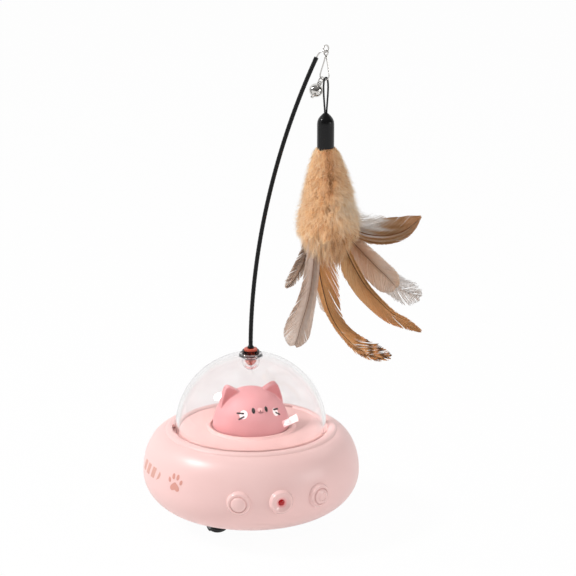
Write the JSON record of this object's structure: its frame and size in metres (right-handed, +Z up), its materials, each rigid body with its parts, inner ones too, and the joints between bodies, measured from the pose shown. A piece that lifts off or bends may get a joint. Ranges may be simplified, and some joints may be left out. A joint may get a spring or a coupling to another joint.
{
  "type": "automatic feather cat toy",
  "caption": "Round self-driving cat toy base with a clear twist-off dome over a cat's head and a bendy wand carrying a bell and a feather lure.",
  "frame": {"origin": "middle of the flat belly of the battery cover, on the axis of the casing and dome", "axes": "+Z up along the dome's axis, -Y towards the front where the buttons are, +X to the right of someone who faces the buttons"},
  "size_m": [0.1706, 0.1333, 0.2951],
  "materials": {
    "casing": "satin",
    "button": "satin",
    "head": "satin",
    "clear_dome": "gloss",
    "plug_silicone": "satin",
    "black_rubber": "matte",
    "black_plastic": "satin",
    "wand_braid": "satin",
    "steel": "polished",
    "bell_chrome": "polished",
    "usb_steel": "satin",
    "motor_can": "satin",
    "gear_plastic": "satin",
    "circuit_board": "satin",
    "battery_film": "gloss",
    "red_lens": "gloss",
    "loop_cord": "matte",
    "fur": "matte",
    "feather_brown": "matte",
    "feather_grey": "matte"
  },
  "bodies": {
    "base": {"upper_shell": "casing", "base_plate": "casing", "battery_cover": "casing", "motor_clamp": "casing", "deck": "casing", "cat_head": "head", "mode_switch": "black_plastic", "power_switch": "black_plastic", "caster_housing": "black_plastic", "caster_ring": "black_plastic", "base_screw_1": "steel", "base_screw_2": "steel", "base_screw_3": "steel", "base_screw_4": "steel", "battery_cover_screw": "steel", "clamp_screw_1": "steel", "clamp_screw_2": "steel", "deck_screw_1": "steel", "deck_screw_2": "steel", "deck_screw_3": "steel", "head_screw": "steel", "left_axle": "steel", "right_axle": "steel", "usb_socket": "usb_steel", "left_motor": "motor_can", "right_motor": "motor_can", "main_board": "circuit_board", "light_board": "circuit_board", "battery": "battery_film", "light_lens": "red_lens"},
    "left_wheel": {"left_hub": "gear_plastic", "left_tyre": "black_rubber"},
    "right_wheel": {"right_hub": "gear_plastic", "right_tyre": "black_rubber"},
    "left_pinion_shaft": {"left_pinion": "gear_plastic"},
    "right_pinion_shaft": {"right_pinion": "gear_plastic"},
    "caster": {"caster_ball": "steel"},
    "mode_key": {"mode_button": "button"},
    "power_key": {"power_button": "button"},
    "dome_cover": {"dome": "clear_dome", "grommet": "black_rubber"},
    "plug": {"wand_plug": "plug_silicone"},
    "wand": {"wand_rod": "wand_braid", "wand_eye": "steel"},
    "snap": {"snap_clip": "steel"},
    "lure": {"lure_loop": "loop_cord", "lure_cap": "black_plastic", "fur_tuft": "fur", "feather_1": "feather_brown", "feather_2": "feather_grey", "feather_3": "feather_brown", "feather_4": "feather_brown", "feather_5": "feather_grey", "feather_6": "feather_brown", "feather_7": "feather_grey", "feather_8": "feather_grey"},
    "jingle_bell": {"bell": "bell_chrome", "bell_ring": "bell_chrome", "bell_pellet": "bell_chrome"}
  },
  "joints": [
    {"name": "left_wheel_spin", "type": "hinge", "parent": "base", "child": "left_wheel", "pos_m": [-0.0256, -0.014, 0.0031], "axis": [1, 0, 0], "continuous": true},
    {"name": "left_pinion_spin", "type": "hinge", "parent": "base", "child": "left_pinion_shaft", "pos_m": [-0.0256, -0.014, 0.0085], "axis": [1, 0, 0], "continuous": true},
    {"name": "right_wheel_spin", "type": "hinge", "parent": "base", "child": "right_wheel", "pos_m": [0.0256, -0.014, 0.0031], "axis": [1, 0, 0], "continuous": true},
    {"name": "right_pinion_spin", "type": "hinge", "parent": "base", "child": "right_pinion_shaft", "pos_m": [0.0256, -0.014, 0.0085], "axis": [1, 0, 0], "continuous": true},
    {"name": "caster_roll", "type": "hinge", "parent": "base", "child": "caster", "pos_m": [0, 0.036, -0.0054], "axis": [1, 0, 0], "continuous": true},
    {"name": "mode_button_press", "type": "slide", "parent": "base", "child": "mode_key", "axis": [0.3746, 0.9272, 0], "range_m": [0, 0.0006], "stiffness_N_per_m": 900},
    {"name": "power_button_press", "type": "slide", "parent": "base", "child": "power_key", "axis": [-0.3746, 0.9272, 0], "range_m": [0, 0.0006], "stiffness_N_per_m": 900},
    {"name": "dome_twist", "type": "hinge", "parent": "base", "child": "dome_cover", "pos_m": [0, 0, 0.051], "axis": [0, 0, 1], "range_deg": [0, 20]},
    {"name": "plug_pull", "type": "slide", "parent": "dome_cover", "child": "plug", "axis": [0, 0, 1], "range_m": [0, 0.014]},
    {"name": "wand_turn", "type": "hinge", "parent": "plug", "child": "wand", "pos_m": [0, 0, 0.101], "axis": [0, 0, 1], "continuous": true},
    {"name": "snap_swing", "type": "hinge", "parent": "wand", "child": "snap", "pos_m": [0.04307, -0.01195, 0.28122], "axis": [0.9636, -0.2672, 0], "range_deg": [-25, 25]},
    {"name": "lure_swing", "type": "hinge", "parent": "snap", "child": "lure", "pos_m": [0.04307, -0.01195, 0.2647], "axis": [-0.2672, -0.9636, 0], "range_deg": [-6, 45]},
    {"name": "bell_swing", "type": "hinge", "parent": "snap", "child": "jingle_bell", "pos_m": [0.04129, -0.00935, 0.26494], "axis": [-0.2672, -0.9636, 0], "range_deg": [-14, 2]}
  ],
  "couplings": [
    {"joint": "left_pinion_spin", "follows": "left_wheel_spin", "ratio": 3},
    {"joint": "right_pinion_spin", "follows": "right_wheel_spin", "ratio": 3}
  ]
}
